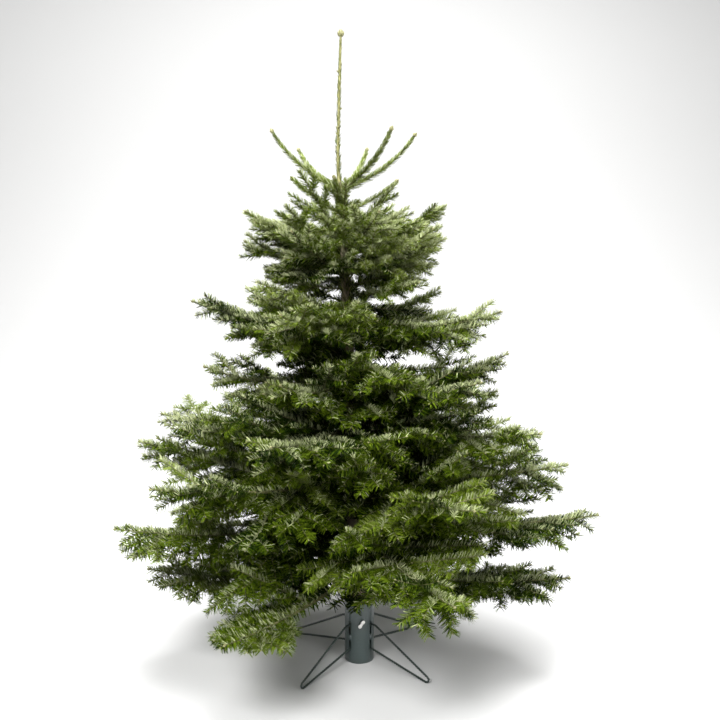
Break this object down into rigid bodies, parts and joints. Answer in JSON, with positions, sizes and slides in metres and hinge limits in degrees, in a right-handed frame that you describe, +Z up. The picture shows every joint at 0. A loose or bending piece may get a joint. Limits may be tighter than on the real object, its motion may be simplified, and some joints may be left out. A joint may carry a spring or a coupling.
{
  "type": "christmas tree",
  "caption": "Cut fir with tiers of flat needle sprays and a long leader, standing in a steel tube stand with bent rod legs.",
  "frame": {"origin": "on the floor under the middle of the stand's tube, at its flat underside", "axes": "+Z up the trunk, +X to the right and +Y to the back, seen from the front"},
  "size_m": [1.4191, 1.2124, 1.88],
  "materials": {
    "bark": "rough grey-brown bark with resin blisters",
    "needles": "glossy yellow-green needles with a pale silvery top on each spray",
    "painted_steel": "dark grey-green semi-gloss paint",
    "painted_rod": "near-black green semi-gloss paint on ribbed rod"
  },
  "bodies": {
    "root": {"trunk": "bark", "stand_tube": "painted_steel", "stand_leg_1": "painted_rod", "stand_leg_2": "painted_rod", "stand_leg_3": "painted_rod", "stand_leg_4": "painted_rod", "whorl_8_bough_1": "bark", "whorl_8_bough_2": "bark", "whorl_8_bough_3": "bark", "whorl_8_bough_4": "bark", "whorl_8_bough_5": "bark", "top_shoot_1": "needles", "top_shoot_2": "needles", "top_shoot_3": "needles", "top_shoot_4": "needles", "top_shoot_5": "needles", "upper_shoot_1": "needles", "upper_shoot_2": "needles", "upper_shoot_3": "needles", "upper_shoot_4": "needles", "whorl_2_spray_1": "needles", "whorl_2_spray_2": "needles", "whorl_2_spray_3": "needles", "whorl_2_spray_4": "needles", "whorl_2_spray_5": "needles", "branchlet_spray_1": "needles", "branchlet_spray_2": "needles", "branchlet_spray_3": "needles", "branchlet_spray_4": "needles", "branchlet_spray_5": "needles", "whorl_3_spray_1": "needles", "whorl_3_spray_2": "needles", "whorl_3_spray_3": "needles", "whorl_3_spray_4": "needles", "whorl_3_spray_5": "needles", "whorl_4_spray_1": "needles", "whorl_4_spray_2": "needles", "whorl_4_spray_3": "needles", "whorl_4_spray_4": "needles", "whorl_4_spray_5": "needles", "whorl_5_spray_1": "needles", "whorl_5_spray_2": "needles", "whorl_5_spray_3": "needles", "whorl_5_spray_4": "needles", "whorl_5_spray_5": "needles", "whorl_6_spray_1": "needles", "whorl_6_spray_2": "needles", "whorl_6_spray_3": "needles", "whorl_6_spray_4": "needles", "whorl_6_spray_5": "needles", "whorl_7_spray_1": "needles", "whorl_7_spray_2": "needles", "whorl_7_spray_3": "needles", "whorl_7_spray_4": "needles", "whorl_7_spray_5": "needles", "whorl_8_spray_1": "needles", "whorl_8_spray_2": "needles", "whorl_8_spray_3": "needles", "whorl_8_spray_4": "needles", "whorl_8_spray_5": "needles"}
  },
  "joints": []
}
